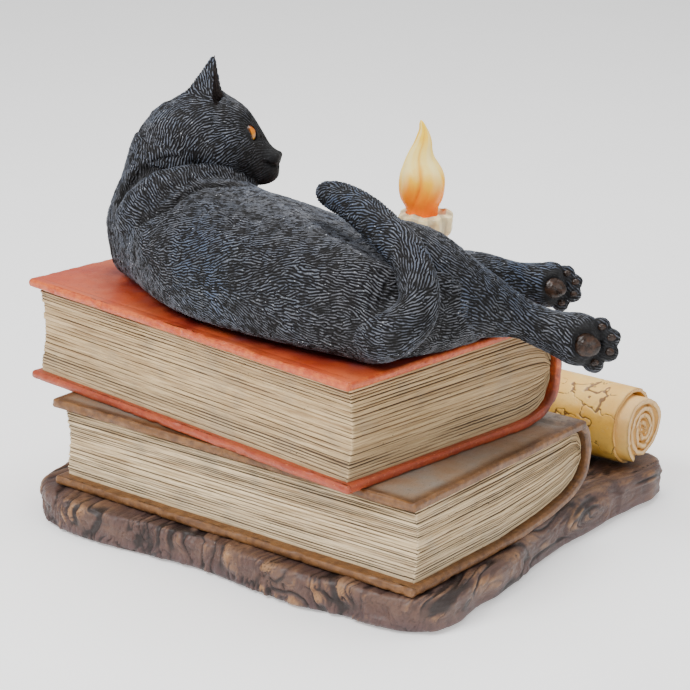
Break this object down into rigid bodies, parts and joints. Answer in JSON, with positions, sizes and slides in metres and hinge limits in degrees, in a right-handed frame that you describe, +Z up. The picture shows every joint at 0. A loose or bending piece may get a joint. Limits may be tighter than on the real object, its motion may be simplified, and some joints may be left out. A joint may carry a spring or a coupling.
{
  "type": "cat figurine",
  "caption": "Figurine of a black cat lying on stacked old books, with a candle and a rolled parchment behind, on a rough wooden plank base",
  "frame": {"origin": "centre of the footprint, on the surface that the felt feet stand on", "axes": "+X along the plank's long side towards the cat's hind paws, +Y towards the candle, +Z up"},
  "size_m": [0.2061, 0.1746, 0.1622],
  "materials": {
    "painted_bark": "matt hand-painted purple brown with dry-brushed tan",
    "felt": "black pressed felt",
    "brown_cover": "satin hand-painted golden brown",
    "pale_pages": "matt hand-painted pale page edges",
    "red_cover": "satin hand-painted vermilion",
    "cream_pages": "matt hand-painted aged page edges",
    "parchment": "satin hand-painted yellow ochre",
    "wax": "satin hand-painted cream wax",
    "flame": "satin hand-painted orange to yellow",
    "black_fur": "matt black with blue-grey dry-brushed fur",
    "amber_eye": "gloss painted amber",
    "pad_skin": "semi-gloss brown grey"
  },
  "bodies": {
    "root": {"base_plank": "painted_bark", "felt_feet": "felt", "lower_book_cover": "brown_cover", "lower_book_pages": "pale_pages", "upper_book_cover": "red_cover", "upper_book_pages": "cream_pages", "parchment_scroll": "parchment", "candle_stick": "wax", "candle_flame": "flame", "cat_body": "black_fur", "cat_head": "black_fur", "cat_tail": "black_fur", "hind_leg_right": "black_fur", "hind_leg_left": "black_fur", "foreleg_right": "black_fur", "foreleg_left": "black_fur", "eye_right": "amber_eye", "eye_left": "amber_eye", "paw_pads_right": "pad_skin", "paw_pads_left": "pad_skin"}
  },
  "joints": []
}
